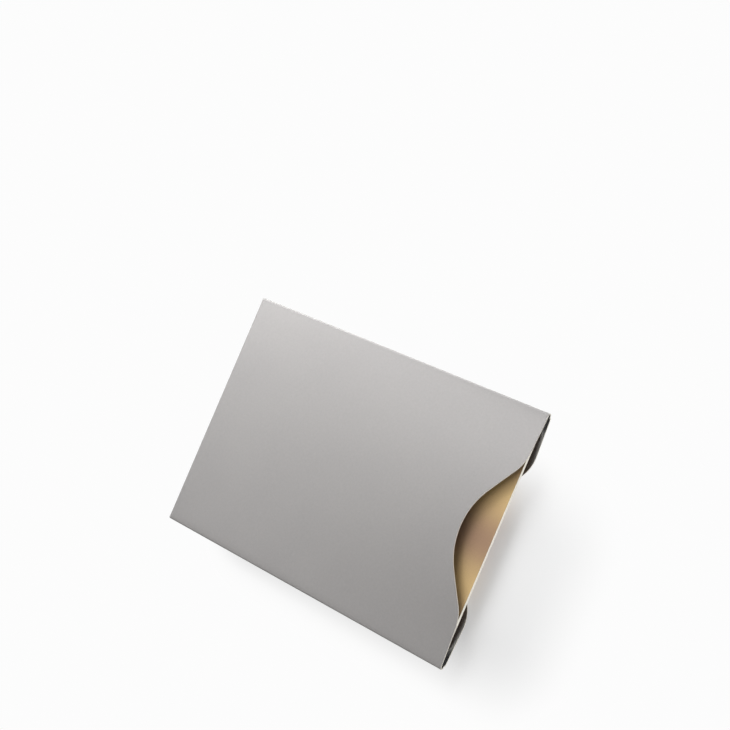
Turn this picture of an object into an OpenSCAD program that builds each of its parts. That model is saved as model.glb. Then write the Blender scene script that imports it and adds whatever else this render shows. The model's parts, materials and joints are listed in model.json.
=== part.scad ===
// Shielded paper sleeve for one standard bank or pass card.
// A coated paper blank, lined with aluminium foil, is folded at the closed end
// and along both long sides. Two side flaps are glued inside the back panel.
// The mouth gapes and has a thumb notch in both panels. The card slides in and out.
//
// The sleeve lies on its back, with +X towards the mouth and +Z out of the front.
// Every shape is drawn about the middle plane of the card, from the closed end at
// x = 0, and is then leaned a little, because the gaping mouth lifts that end.

/* [Card] */
// Length of the card
card_l = 85.6; // [80:0.1:95]
// Width of the card
card_w = 53.98; // [45:0.01:62]
// Thickness of the card
card_t = 0.76; // [0.68:0.01:1.2]
// Radius of the card's corners
card_corner_r = 3.18; // [1:0.01:6]
// Thickness of each printed sheet
print_t = 0.12; // [0.06:0.01:0.14]
// Thickness of the sheet that holds the antenna
inlay_t = 0.26; // [0.15:0.01:0.28]

/* [Card electronics] */
// Turns of the antenna
antenna_turns = 4; // [2:1:6]
// Distance from the card's edge to the antenna
antenna_margin = 4; // [2:0.5:8]
// Distance from one turn of the antenna to the next
wire_pitch = 0.6; // [0.4:0.05:1]
// Width of the antenna wire
wire_w = 0.2; // [0.1:0.01:0.3]
// Thickness of the antenna wire
wire_t = 0.1; // [0.06:0.01:0.12]
// Length of the chip module
chip_l = 8; // [5:0.1:12]
// Width of the chip module beyond the antenna's turns
chip_reach = 2.6; // [1:0.1:5]
// Thickness of the chip module
chip_t = 0.18; // [0.1:0.01:0.22]

/* [Laminate] */
// Thickness of the coated paper
paper_t = 0.22; // [0.15:0.01:0.26]
// Thickness of the aluminium foil
foil_t = 0.03; // [0.02:0.01:0.06]
// Thickness of the film that bonds the foil to the paper
bond_t = 0.01; // [0.01:0.005:0.02]
// Outer radius of the folds
fold_r = 0.4; // [0.36:0.01:0.6]

/* [Pocket] */
// Room between the card and each wall
card_clear = 0.08; // [0.05:0.01:0.3]
// Room between the card and the closed end
end_room = 1.6; // [1.4:0.1:4]
// Room between the card and each long side
side_room = 3.01; // [2.6:0.01:6]
// How far the card sits inside the mouth
mouth_recess = 0.8; // [0:0.1:3]
// Length over which a panel rises from a side fold
side_rise_l = 2.6; // [1.6:0.1:2.8]
// Length over which the front panel rises from the end fold
front_rise_l = 1.6; // [1:0.1:1.8]
// Length over which the back panel rises from the end fold
back_rise_l = 2.6; // [1.6:0.1:3]

/* [Mouth] */
// Height of each panel over the card's middle plane at the mouth
mouth_rise = 3.1; // [1.8:0.05:5]
// Length of the flat stretch at the closed end
flat_l = 20; // [10:1:40]
// Depth of the thumb notch
notch_depth = 8.3; // [6:0.1:11]
// Radius of the notch's middle
notch_r = 17; // [14:0.5:20]
// Radius where the notch flares into the mouth
flare_r = 9; // [5:0.5:12]
// Steepest angle of the notch's flanks
notch_angle = 33; // [28:1:38]

/* [Glue flaps] */
// Width of each side flap
flap_w = 12; // [8:0.5:15]
// Distance from each end of the sleeve to a flap
flap_end = 3; // [2.2:0.1:6]
// How far each end of a flap is cut back along its slant
flap_slant = 6; // [2:0.5:10]
// Width of the glue line
glue_w = 7; // [4:0.5:7.5]
// Thickness of the glue line
glue_t = 0.02; // [0.01:0.01:0.06]
// Room left on each side of the glue line
glue_clear = 0.01; // [0.01:0.005:0.03]
// How far the back panel's edge stays inside the side folds
back_setback = 0.8; // [0.6:0.1:1.5]

/* [Hidden] */
$fn = 48;

// Colours
paper_color = "#b4b0ad";
foil_color = "#8f9092";
glue_color = "#e9e4d4";
card_color = "#b49b72";
core_color = "#f1eee4";
copper_color = "#b5683c";
chip_color = "#3a3c40";

// Overall sizes of the sleeve
sleeve_l = card_l + end_room + mouth_recess;
half_w = card_w / 2 + side_room;
wall_t = paper_t + bond_t + foil_t;
glue_gap = glue_t + 2 * glue_clear;

// Height of each panel's outer face over the middle plane, where the card holds it flat
front_flat = card_t / 2 + card_clear + wall_t;
back_flat = front_flat + glue_gap + wall_t;
// The same for the back panel beside a side fold, where it lies on the flap
back_side = fold_r + glue_gap + wall_t;

// Thumb notch: a middle arc, a straight flank and a flare arc on each side
notch_arc_y = notch_r * sin(notch_angle);
notch_flank_l = (notch_depth - (notch_r + flare_r) * (1 - cos(notch_angle))) / tan(notch_angle);
notch_half_w = notch_arc_y + notch_flank_l + flare_r * sin(notch_angle);

// Rise from 0 to 1 over a length, quick at first and level at the end
function rise(d, len) = 1 - pow(1 - min(1, max(0, d / len)), 3);

// Gape of the mouth: grows along the sleeve, and dies away towards both side folds
function gape_x(x) = pow(max(0, x - flat_l) / (sleeve_l - flat_l), 1.5);
function gape_y(y) = pow(max(0, 1 - pow(y / (half_w - fold_r), 2)), 1.5);

// Height of a panel's outer face, from its height at the side fold to its flat height
function outer_height(x, y, side, flat, end_rise_l) =
    let (from_side = rise(half_w - fold_r - abs(y), side_rise_l))
    let (from_end = rise(x - fold_r, end_rise_l))
    let (across = side + (flat - side) * from_side)
    fold_r + (across - fold_r) * from_end + (mouth_rise - flat) * gape_x(x) * gape_y(y);

function front_height(x, y) = outer_height(x, y, fold_r, front_flat, front_rise_l);
function back_height(x, y) = outer_height(x, y, back_side, back_flat, back_rise_l);

// How far the notch cuts back the mouth's edge at each distance from the middle
function notch_cut(y) =
    let (a = abs(y))
    a < notch_arc_y ? notch_depth - notch_r + sqrt(notch_r * notch_r - a * a) :
    a < notch_arc_y + notch_flank_l ?
        notch_depth - notch_r * (1 - cos(notch_angle)) - (a - notch_arc_y) * tan(notch_angle) :
    a < notch_half_w ? flare_r - sqrt(flare_r * flare_r - pow(notch_half_w - a, 2)) : 0;

// Lean that sets both the closed end and the notch's edge down on one level
rest_x = fold_r + back_rise_l;
rest_z = back_height(rest_x, 0);
notch_x = sleeve_l - notch_depth;
notch_z = back_height(notch_x, 0);
lean = atan2(notch_z - rest_z, notch_x - rest_x);
lift = rest_z * cos(lean) - rest_x * sin(lean);
mid_x = (sleeve_l * cos(lean) + back_height(sleeve_l, notch_half_w) * sin(lean)) / 2;

// The strips of paper beside the folds belong to the folds. They end at the card's end
// and where a panel has risen from a side fold, so the panels between them are nearly flat.
rise_y = half_w - fold_r - side_rise_l;

// Stations along a panel: what is left of the rise, then even steps from the flat stretch
gape_steps = 9;
rise_stations = [0, 0.4, 1];
panel_steps = len(rise_stations) + gape_steps;
function panel_x(i, y, end_rise_l) =
    i < len(rise_stations) ?
        end_room + max(0.2, fold_r + end_rise_l - end_room) * rise_stations[i] :
    flat_l + (sleeve_l - notch_cut(y) - flat_l) * (i - len(rise_stations)) / gape_steps;

// Rows across the middle of a panel, and across a rise from a fold to the middle
middle_steps = 26;
middle_rows = [for (j = [0:middle_steps]) rise_y * (2 * j / middle_steps - 1)];
side_rows = [0, 0.18, 0.4, 0.68];
function edge_rows(edge) = [for (s = side_rows) edge - (edge - rise_y) * s];
function mirrored_rows(edge, middle) = concat(
    [for (y = edge_rows(edge)) -y],
    middle,
    [for (k = [len(side_rows) - 1:-1:0]) edge_rows(edge)[k]]
);

// Closed thin solid between an outer and an inner surface, over a grid of m by n points.
// has(j, i) says whether the cell after row j and column i is part of it.
module shell(m, n, has, outer, inner) {
    count = m * n;
    grid = [for (j = [0:m - 1]) for (i = [0:n - 1]) [j, i]];
    points = concat(
        [for (g = grid) outer(g[0], g[1])],
        [for (g = grid) inner(g[0], g[1])]
    );
    there = function(j, i) j >= 0 && j < m - 1 && i >= 0 && i < n - 1 && has(j, i);
    cells = [for (g = grid) if (there(g[0], g[1])) g];
    // Each side of a cell: the step to its neighbour, then to the side's first and last point
    sides = [
        [[-1, 0], [0, 0], [0, 1]],
        [[0, 1], [0, 1], [1, 1]],
        [[1, 0], [1, 1], [1, 0]],
        [[0, -1], [1, 0], [0, 0]]
    ];
    index = function(p) p[0] * n + p[1];
    ring = [
        for (c = cells) for (s = sides)
            if (!there(c[0] + s[0][0], c[1] + s[0][1])) [index(c + s[1]), index(c + s[2])]
    ];
    faces = concat(
        [for (c = cells) let (a = index(c)) [a, a + n, a + 1]],
        [for (c = cells) let (a = index(c)) [a + 1, a + n, a + n + 1]],
        [for (c = cells) let (a = index(c) + count) [a, a + 1, a + n]],
        [for (c = cells) let (a = index(c) + count) [a + 1, a + n + 1, a + n]],
        [for (r = ring) [r[0], r[1], r[1] + count]],
        [for (r = ring) [r[0], r[1] + count, r[0] + count]]
    );
    polyhedron(points, faces, convexity = 4);
}

// Shell between two height functions over rows of points, all of whose cells are there
module sheet(rows, steps, x_at, upper, lower) {
    at = function(height, j, i)
        let (y = rows[j], x = x_at(i, y)) [x, y, height(x, y)];
    shell(len(rows), steps + 1, function(j, i) true,
        function(j, i) at(upper, j, i), function(j, i) at(lower, j, i));
}

// Moves a shape from its own plane to where it lies on the table
module placed() {
    translate([-mid_x, 0, lift]) rotate([0, -lean, 0]) children();
}

// Front panel layer between two depths under its outer face
module front_layer(top, bottom) {
    sheet(middle_rows, panel_steps, function(i, y) panel_x(i, y, front_rise_l),
        function(x, y) front_height(x, y) - top,
        function(x, y) front_height(x, y) - bottom);
}

// Back panel layer between two depths over its outer face
back_edge_y = half_w - back_setback;
module back_layer(bottom, top) {
    sheet(mirrored_rows(back_edge_y, middle_rows), panel_steps,
        function(i, y) panel_x(i, y, back_rise_l),
        function(x, y) top - back_height(x, y),
        function(x, y) bottom - back_height(x, y));
}

// Ends of a flap at a distance from the middle: both are cut at a slant
function flap_cut(y) = flap_end + flap_slant * (half_w - fold_r - y) / (flap_w - fold_r);
flap_steps = 14;
function flap_x(i, y, steps) = flap_cut(y) + (sleeve_l - 2 * flap_cut(y)) * i / steps;

// Layer of the top flap between two heights over the back panel's outer face
flap_rows = 5;
flap_free_y = half_w - flap_w;
module flap_layer(bottom, top) {
    sheet([for (j = [0:flap_rows]) flap_free_y + (rise_y - flap_free_y) * j / flap_rows], flap_steps,
        function(i, y) flap_x(i, y, flap_steps),
        function(x, y) top - back_height(x, y),
        function(x, y) bottom - back_height(x, y));
}

// Round nose of a fold, seen along it: a half circle from one panel to the other
nose_steps = 6;
function nose_point(k, depth) =
    let (a = 180 * k / nose_steps - 90) (fold_r - depth) * [cos(a), sin(a)];

// End fold: the strip on the back, the nose and the strip on the front, for one depth
strip_steps = 3;
strip_l = end_room - fold_r;
end_front = strip_steps + nose_steps;
function end_fold_point(k, y, depth) =
    k < strip_steps ?
        let (x = end_room - strip_l * k / strip_steps) [x, y, depth - back_height(x, y)] :
    k <= end_front ?
        let (p = nose_point(k - strip_steps, depth)) [fold_r - p.x, y, p.y] :
        let (x = fold_r + strip_l * (k - end_front) / strip_steps)
        [x, y, front_height(x, y) - depth];

// The nose is as wide as the sleeve. The strips are as wide as the panels that they meet.
end_rows = concat([-half_w], mirrored_rows(back_edge_y, [-rise_y, rise_y]), [half_w]);
function end_fold_has(j, k) =
    let (y = abs(end_rows[j] + end_rows[j + 1]) / 2)
    k < strip_steps ? y < back_edge_y : k < end_front ? true : y < rise_y;

module end_fold_layer(outer_depth, inner_depth) {
    shell(len(end_rows), end_front + strip_steps + 1, function(j, k) end_fold_has(j, k),
        function(j, k) end_fold_point(k, end_rows[j], outer_depth),
        function(j, k) end_fold_point(k, end_rows[j], inner_depth));
}

// Side fold: the strip on the front, the nose and the strip on the flap, for one depth
side_steps = len(side_rows);
side_flap = side_steps + nose_steps;
fold_y = half_w - fold_r;
function strip_y(j) = j == 0 ? rise_y : edge_rows(fold_y)[side_steps - j];
function side_fold_point(j, i, depth) =
    j < side_steps ?
        let (y = strip_y(j), x = side_x(i, fold_y)) [x, y, front_height(x, y) - depth] :
    j <= side_flap ?
        let (p = nose_point(side_flap - j, depth)) [side_x(i, fold_y), fold_y + p.x, p.y] :
        let (y = strip_y(side_steps + side_flap - j), x = side_x(i, y))
        [x, y, wall_t + glue_gap + depth - back_height(x, y)];

// Stations along a side fold: the rise at the closed end, then from one end of the flap
// to the other, then the mouth
lead_stations = [0, 0.14, 0.34, 0.62];
lead_steps = len(lead_stations);
side_fold_steps = 7;
function side_x(i, y) =
    i < lead_steps ? fold_r + (flap_end - fold_r) * lead_stations[i] :
    i <= lead_steps + side_fold_steps ? flap_x(i - lead_steps, y, side_fold_steps) : sleeve_l;
function side_fold_has(j, i) =
    j < side_flap || (i >= lead_steps && i < lead_steps + side_fold_steps);

// Layer of the top side fold between two depths, from the end fold to the mouth
module side_fold_layer(outer_depth, inner_depth) {
    shell(side_steps + side_flap + 1, lead_steps + side_fold_steps + 2,
        function(j, i) side_fold_has(j, i),
        function(j, i) side_fold_point(j, i, outer_depth),
        function(j, i) side_fold_point(j, i, inner_depth));
}

// Glue line along the top flap, centred across its bonded width
glue_y = half_w - side_rise_l - fold_r - glue_w;
glue_inset = 2;
glue_x = flap_cut(glue_y) + glue_inset;
module glue_layer() {
    sheet([for (j = [0:4]) glue_y + glue_w * j / 4], flap_steps,
        function(i, y) glue_x + (sleeve_l - 2 * glue_x) * i / flap_steps,
        function(x, y) wall_t + glue_clear + glue_t - back_height(x, y),
        function(x, y) wall_t + glue_clear - back_height(x, y));
}

// Depths of the foil under the paper's outer face
foil_top = paper_t + bond_t;

module front_panel() {
    color(paper_color) placed() front_layer(0, paper_t);
}

module back_panel() {
    color(paper_color) placed() back_layer(0, paper_t);
}

module end_fold() {
    color(paper_color) placed() end_fold_layer(0, paper_t);
}

module top_side_fold() {
    color(paper_color) placed() side_fold_layer(0, paper_t);
}

module bottom_side_fold() {
    color(paper_color) placed() mirror([0, 1, 0]) side_fold_layer(0, paper_t);
}

// The flaps are folded over, so their foil faces the card and their paper the back panel
module top_glue_flap() {
    color(paper_color) placed() flap_layer(wall_t + glue_gap, wall_t + glue_gap + paper_t);
}

module bottom_glue_flap() {
    color(paper_color) placed() mirror([0, 1, 0])
        flap_layer(wall_t + glue_gap, wall_t + glue_gap + paper_t);
}

module front_foil() {
    color(foil_color) placed() front_layer(foil_top, wall_t);
}

module back_foil() {
    color(foil_color) placed() back_layer(foil_top, wall_t);
}

module end_fold_foil() {
    color(foil_color) placed() end_fold_layer(foil_top, wall_t);
}

module top_fold_foil() {
    color(foil_color) placed() side_fold_layer(foil_top, wall_t);
}

module bottom_fold_foil() {
    color(foil_color) placed() mirror([0, 1, 0])
        side_fold_layer(foil_top, wall_t);
}

module top_flap_foil() {
    color(foil_color) placed()
        flap_layer(wall_t + glue_gap + foil_top, 2 * wall_t + glue_gap);
}

module bottom_flap_foil() {
    color(foil_color) placed() mirror([0, 1, 0])
        flap_layer(wall_t + glue_gap + foil_top, 2 * wall_t + glue_gap);
}

module top_glue_line() {
    color(glue_color) placed() glue_layer();
}

module bottom_glue_line() {
    color(glue_color) placed() mirror([0, 1, 0]) glue_layer();
}

// Heights of the card's sheets
card_bottom = -card_t / 2;
inlay_bottom = card_bottom + print_t;
core_bottom = inlay_bottom + inlay_t;
core_top = card_t / 2 - print_t;
card_mid_x = end_room + card_l / 2;

// Outline of the card with its round corners, exact arcs and straight sides
module card_outline() {
    straight_l = card_l - 2 * card_corner_r;
    straight_w = card_w - 2 * card_corner_r;
    square([card_l, straight_w], center = true);
    square([straight_l, card_w], center = true);
    for (x = [-1, 1], y = [-1, 1])
        translate([x * straight_l / 2, y * straight_w / 2]) circle(card_corner_r);
}

// Flat sheet of the card between two heights
module card_layer(bottom, top) {
    translate([card_mid_x, 0, bottom]) linear_extrude(top - bottom) card_outline();
}

// Antenna: a rectangular spiral, whose sides step in by one pitch after each turn
antenna_x = card_l / 2 - antenna_margin;
antenna_y = card_w / 2 - antenna_margin;
lead_l = 4;
function side_in(j) = wire_pitch * floor(j / 4);
function antenna_corner(j, o) =
    j % 4 == 0 ? [antenna_x - side_in(j + 1) - o, antenna_y - side_in(j) - o] :
    j % 4 == 1 ? [antenna_x - side_in(j) - o, -antenna_y + side_in(j + 1) + o] :
    j % 4 == 2 ? [-antenna_x + side_in(j + 1) + o, -antenna_y + side_in(j) + o] :
    [-antenna_x + side_in(j) + o, antenna_y - side_in(j + 1) - o];
last_side = 4 * antenna_turns;
function antenna_edge(o) = concat(
    [[-antenna_x + lead_l, antenna_y - o]],
    [for (j = [0:last_side - 1]) antenna_corner(j, o)],
    [[-antenna_x + lead_l, antenna_y - side_in(last_side) - o]]
);

module antenna_shape() {
    outer_edge = antenna_edge(-wire_w / 2);
    inner_edge = antenna_edge(wire_w / 2);
    polygon(concat(outer_edge, [for (k = [len(inner_edge) - 1:-1:0]) inner_edge[k]]));
}

// Antenna wire, level with the face of its sheet
module antenna_solid() {
    translate([card_mid_x, 0, core_bottom - wire_t]) linear_extrude(wire_t) antenna_shape();
}

// Chip module: bridges the turns and joins both ends of the wire
chip_w = side_in(last_side) + wire_pitch + chip_reach;
module chip_solid() {
    translate([card_mid_x - antenna_x + lead_l - chip_l / 2, antenna_y + wire_pitch - chip_w,
        core_bottom])
        cube([chip_l, chip_w, chip_t]);
}

module card_front_sheet() {
    color(card_color) placed() card_layer(core_top, card_t / 2);
}

module card_core_sheet() {
    color(core_color) placed() difference() {
        card_layer(core_bottom, core_top);
        chip_solid();
    }
}

module card_antenna_sheet() {
    color(core_color) placed() difference() {
        card_layer(inlay_bottom, core_bottom);
        antenna_solid();
    }
}

module card_back_sheet() {
    color(card_color) placed() card_layer(card_bottom, inlay_bottom);
}

module antenna_coil() {
    color(copper_color) placed() antenna_solid();
}

module chip_module() {
    color(chip_color) placed() chip_solid();
}

front_panel();
back_panel();
end_fold();
top_side_fold();
bottom_side_fold();
top_glue_flap();
bottom_glue_flap();
front_foil();
back_foil();
end_fold_foil();
top_fold_foil();
bottom_fold_foil();
top_flap_foil();
bottom_flap_foil();
top_glue_line();
bottom_glue_line();
card_front_sheet();
card_core_sheet();
card_antenna_sheet();
card_back_sheet();
antenna_coil();
chip_module();
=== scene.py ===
# %% [markdown]
# # A shielded card sleeve
# The real thing is a blank of coated paper, printed silver grey on the outside and lined with
# aluminium foil on the inside. It is folded in half at its closed end, two flaps along the long
# sides are glued inside the back panel, and a card lies in the pocket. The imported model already
# holds every piece at its true size, so this lesson keeps that frame and gives each piece the
# surface that a close view needs: thin sheets with soft creases, cut edges and printed faces.

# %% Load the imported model
import json
import math

import bmesh
import bpy
import numpy as np
from mathutils import Matrix, Vector


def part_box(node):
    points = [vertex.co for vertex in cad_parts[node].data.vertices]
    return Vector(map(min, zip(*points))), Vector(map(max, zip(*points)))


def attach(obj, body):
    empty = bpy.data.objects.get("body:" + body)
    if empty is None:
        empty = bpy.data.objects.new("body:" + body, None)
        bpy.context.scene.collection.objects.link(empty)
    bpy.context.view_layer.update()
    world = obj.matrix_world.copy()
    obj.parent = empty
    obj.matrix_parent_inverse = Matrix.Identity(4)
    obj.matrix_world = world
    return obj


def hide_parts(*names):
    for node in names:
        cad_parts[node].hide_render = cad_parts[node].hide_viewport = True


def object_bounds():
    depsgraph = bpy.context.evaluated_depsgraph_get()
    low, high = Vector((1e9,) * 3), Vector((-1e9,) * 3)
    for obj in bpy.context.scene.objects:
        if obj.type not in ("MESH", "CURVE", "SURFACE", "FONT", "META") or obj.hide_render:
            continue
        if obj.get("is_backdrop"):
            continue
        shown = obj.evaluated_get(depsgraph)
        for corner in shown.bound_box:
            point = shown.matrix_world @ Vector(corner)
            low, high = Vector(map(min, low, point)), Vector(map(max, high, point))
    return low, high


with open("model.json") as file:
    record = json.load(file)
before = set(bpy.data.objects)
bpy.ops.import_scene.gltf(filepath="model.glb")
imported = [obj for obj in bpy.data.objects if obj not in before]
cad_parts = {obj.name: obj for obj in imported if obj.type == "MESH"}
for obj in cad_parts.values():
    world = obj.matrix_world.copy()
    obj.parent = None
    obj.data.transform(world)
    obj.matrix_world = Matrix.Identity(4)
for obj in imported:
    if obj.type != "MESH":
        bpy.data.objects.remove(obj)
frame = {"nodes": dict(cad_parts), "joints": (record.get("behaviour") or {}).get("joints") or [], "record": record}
cad_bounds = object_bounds()
MM = 0.001
print("CAD box in mm:", [round((high - low) / MM, 3) for low, high in zip(*cad_bounds)])

# %% [markdown]
# The sleeve lies on its back, and its gaping mouth lifts that end a little. Drawing every piece
# on that slope would be awkward, so shapes are worked out in the sleeve's own millimetres: x from
# the closed end to the mouth, y across and z out of the front, with z 0 in the middle of the card.
# The slope is read from the frame: the card slides along it, and a mount marks the mouth's middle.

# %% The sleeve's own millimetres
SLEEVE_L = 88.0
HALF_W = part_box("end_fold")[1].y / MM

mouth = next(m for m in frame["record"]["mounts"] if m["name"] == "card_pocket")
ALONG = np.array(frame["joints"][0]["axis"], float)
ALONG /= np.linalg.norm(ALONG)
ACROSS = np.array([0.0, 1.0, 0.0])
OUT = np.cross(ALONG, ACROSS)
CLOSED_END = np.array(mouth["pos_m"]) - ALONG * SLEEVE_L * MM


def placed(points):
    """Metres in the frame: the closed end's place, plus x along, y across and z out of the front."""
    p = np.asarray(points, float) * MM
    return CLOSED_END + p[..., :1] * ALONG + p[..., 1:2] * ACROSS + p[..., 2:] * OUT


print("half width", round(HALF_W, 3), "mm, slope", round(math.degrees(math.asin(ALONG[2])), 3), "degrees")

# %% [markdown]
# The camera comes before the pieces, so that every test render already has the photographed
# view. Its place, the point that it looks at and its roll are given in the sleeve's millimetres,
# which keeps the view tied to the object and not to the table.

# %% The camera
CAMERA_AT = (243.83, 20.35, 281.04)
CAMERA_AIM = (37.03, 24.25, 0.0)
CAMERA_ROLL = -65.93
CAMERA_LENS, SENSOR_W = 72.82, 36.0
NEAR_CLIP = 0.01

camera = bpy.data.objects.new("camera", bpy.data.cameras.new("camera"))
bpy.context.scene.collection.objects.link(camera)
bpy.context.scene.camera = camera
camera.data.lens = CAMERA_LENS
camera.data.sensor_width = SENSOR_W
camera.data.clip_start = NEAR_CLIP
start, aim = placed(CAMERA_AT), placed(CAMERA_AIM)
camera.location = start
sleeve_turn = Matrix((ALONG, ACROSS, OUT)).transposed().to_quaternion()
look = Vector(np.subtract(CAMERA_AIM, CAMERA_AT)).to_track_quat("-Z", "Y")
roll = Matrix.Rotation(math.radians(CAMERA_ROLL), 3, "Z").to_quaternion()
camera.rotation_euler = (sleeve_turn @ look @ roll).to_euler()
print("camera", round(float(np.linalg.norm(aim - start)) / MM, 1), "mm from its aim")

# %% [markdown]
# The sheets' sizes are the construction's own. The foil is bonded under the paper with a thin
# film, and the flaps leave a narrow gap under the back panel for their glue. Only the front's
# side of the creases differs a little: it stands nearly as high as the panel, as it does with a
# card behind it, so that no bevel shows along the folds.

# %% Sizes of the sheets, in millimetres
CARD_L, CARD_W, CARD_T, CARD_CORNER_R = 85.6, 53.98, 0.76, 3.18
PRINT_T = 0.12
END_ROOM = 1.6
PAPER_T, FOIL_T, BOND_T = 0.22, 0.03, 0.01
WALL_T = PAPER_T + BOND_T + FOIL_T
FOIL_TOP = PAPER_T + BOND_T
FOLD_R = 0.4
CREASE_UP = 0.66
GLUE_GAP = 0.04
CARD_CLEAR = 0.08
SIDE_RISE_L, FRONT_RISE_L, BACK_RISE_L = 2.6, 1.6, 2.6
MOUTH_RISE, FLAT_L = 3.1, 20.0
NOTCH_DEPTH, NOTCH_R, FLARE_R, NOTCH_ANGLE = 8.3, 17.0, 9.0, math.radians(33)
FLAP_W, FLAP_END, FLAP_SLANT = 12.0, 3.0, 6.0
BACK_SETBACK = 0.8

FOLD_Y = HALF_W - FOLD_R
RISE_Y = FOLD_Y - SIDE_RISE_L
BACK_Y = HALF_W - BACK_SETBACK
FLAP_Y = HALF_W - FLAP_W
FRONT_FLAT = CARD_T / 2 + CARD_CLEAR + WALL_T
BACK_FLAT = FRONT_FLAT + GLUE_GAP + WALL_T
BACK_SIDE = FOLD_R + GLUE_GAP + WALL_T
print("front and back face:", round(FRONT_FLAT, 2), "and", round(BACK_FLAT, 2), "mm from the middle")

# %% [markdown]
# A sheet of paper held by a card is not quite flat. It rises from its folds, gapes towards the
# mouth, and moves in and out by a few hundredths of a millimetre where it has been handled. One
# height function per panel says all of this, and every layer of paper and foil follows it.

# %% Heights of the panels
# Each wave of the ripple: millimetres per radian along and across, and the angle it starts at.
RIPPLE_WAVES = ((7.3, 16.1, 0.8), (15.7, -9.4, 2.1))
RIPPLE, RIPPLE_EASE = 0.045, 6
GAPE_POWER = 1.5
CROWN, CROWN_POWER = 0.12, 4
# How deep the back sinks, how wide the step down to it is, and the step's share over the flap.
SINK, SINK_STEP_W, SINK_LEAD = 0.12, 1.4, 0.3
SINK_START, SINK_EASE_IN = 4, 5
SINK_END, SINK_EASE_OUT = 86, 30
BELLY_TRIM = 0.008


def rise(distance, length):
    """From 0 to 1 over a length: one minus the cube of the share that is still to go."""
    return 1 - (1 - np.clip(distance / length, 0, 1)) ** 3


def eased(t):
    """From 0 to 1 with level ends: three times t squared less twice t cubed, t held to 0 to 1."""
    t = np.clip(t, 0, 1)
    return t * t * (3 - 2 * t)


def gape(x, y):
    """Share of the mouth's gape. It grows with a power of the way along the sleeve, and dies away
    towards both side folds as one less the square of y, to the same power."""
    along = (np.maximum(0, x - FLAT_L) / (SLEEVE_L - FLAT_L)) ** GAPE_POWER
    across = np.maximum(0, 1 - (y / FOLD_Y) ** 2) ** GAPE_POWER
    return along * across


def inner_field(x, y):
    """1 in the middle of a panel, easing to 0 at its strips beside the folds."""
    return eased((RISE_Y - np.abs(y)) / RIPPLE_EASE) * eased((x - END_ROOM) / RIPPLE_EASE)


def panel_height(x, y, crease, side, flat, end_rise):
    """From the crease to the side's height and the flat height, plus the gape."""
    across = side + (flat - side) * rise(FOLD_Y - np.abs(y), SIDE_RISE_L)
    level = crease + (across - crease) * rise(x - FOLD_R, end_rise)
    return level + (MOUTH_RISE - flat) * gape(x, y)


def front_height(x, y):
    """The front panel. It leans towards its upper fold by a power of the share of the width, and
    is drawn in by two crossing waves of a few hundredths of a millimetre."""
    share = np.clip((y + FOLD_Y) / (2 * FOLD_Y), 0, 1)
    leaned = FRONT_FLAT + CROWN * (0.5 - share**CROWN_POWER)
    wave = sum(np.sin(x / along + y / across + start) for along, across, start in RIPPLE_WAVES)
    ripple = RIPPLE * (0.5 - wave / (2 * len(RIPPLE_WAVES))) * inner_field(x, y)
    return panel_height(x, y, CREASE_UP, CREASE_UP, leaned, FRONT_RISE_L) - ripple


def behind_height(x, y):
    """The back panel before it sinks. A hair is taken off, because its curve would else dip under
    the flat table at the closed end."""
    trimmed = BELLY_TRIM * rise(x - FOLD_R, BACK_RISE_L) * rise(FOLD_Y - np.abs(y), SIDE_RISE_L)
    return panel_height(x, y, FOLD_R, BACK_SIDE, BACK_FLAT, BACK_RISE_L) - trimmed


def back_height(x, y):
    """The back panel, which sinks a little between the two flaps and shows their edges."""
    sunk = eased((FLAP_Y - np.abs(y)) / SINK_STEP_W + SINK_LEAD)
    sunk = sunk * eased((x - SINK_START) / SINK_EASE_IN) * eased((SINK_END - x) / SINK_EASE_OUT)
    return behind_height(x, y) - SINK * sunk


def flap_height(x, y):
    """Outer face of a flap: under the back panel's wall and the gap for the glue."""
    return behind_height(x, y) - WALL_T - GLUE_GAP


def notch_cut(y):
    """How far the notch cuts back the mouth: a middle arc, a straight flank, then a flare arc."""
    a = np.abs(y)
    flank_start = NOTCH_R * math.sin(NOTCH_ANGLE)
    bowl_depth = NOTCH_R * (1 - math.cos(NOTCH_ANGLE))
    flare_depth = FLARE_R * (1 - math.cos(NOTCH_ANGLE))
    flank_w = (NOTCH_DEPTH - bowl_depth - flare_depth) / math.tan(NOTCH_ANGLE)
    flare_w = FLARE_R * math.sin(NOTCH_ANGLE)
    half_w = flank_start + flank_w + flare_w
    bowl = NOTCH_DEPTH - NOTCH_R + np.sqrt(NOTCH_R**2 - np.minimum(a, flank_start) ** 2)
    flank = NOTCH_DEPTH - bowl_depth - (a - flank_start) * math.tan(NOTCH_ANGLE)
    flare = FLARE_R - np.sqrt(FLARE_R**2 - np.clip(half_w - a, 0, flare_w) ** 2)
    return np.where(a < flank_start, bowl, np.where(a < flank_start + flank_w, flank, flare))


print("notch", round(float(notch_cut(np.array(0.0))), 2), "mm deep")

# %% [markdown]
# Each layer is a closed shell: an outer and an inner surface on the same grid, joined by walls
# around their rim. A modifier could thicken a plane instead, but then folds and slanted cuts
# would lose their exact thickness. A mask says which cells of the grid are there, so that a flap
# can be shorter than the fold that it hangs on.

# %% A shell between two grids of points
FACE_OUT, FACE_IN, FACE_CUT = 0, 1, 2
SMOOTH_UNDER = math.radians(40)
WEAR_W = 0.9
WELD = 0.0001


def worn(points):
    """Wear: one at the very front of a fold, falling with the square to nothing a little way in."""
    inward = np.minimum(HALF_W - np.abs(points[:, 1]), points[:, 0])
    return np.clip(1 - inward / WEAR_W, 0, 1) ** 2


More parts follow.
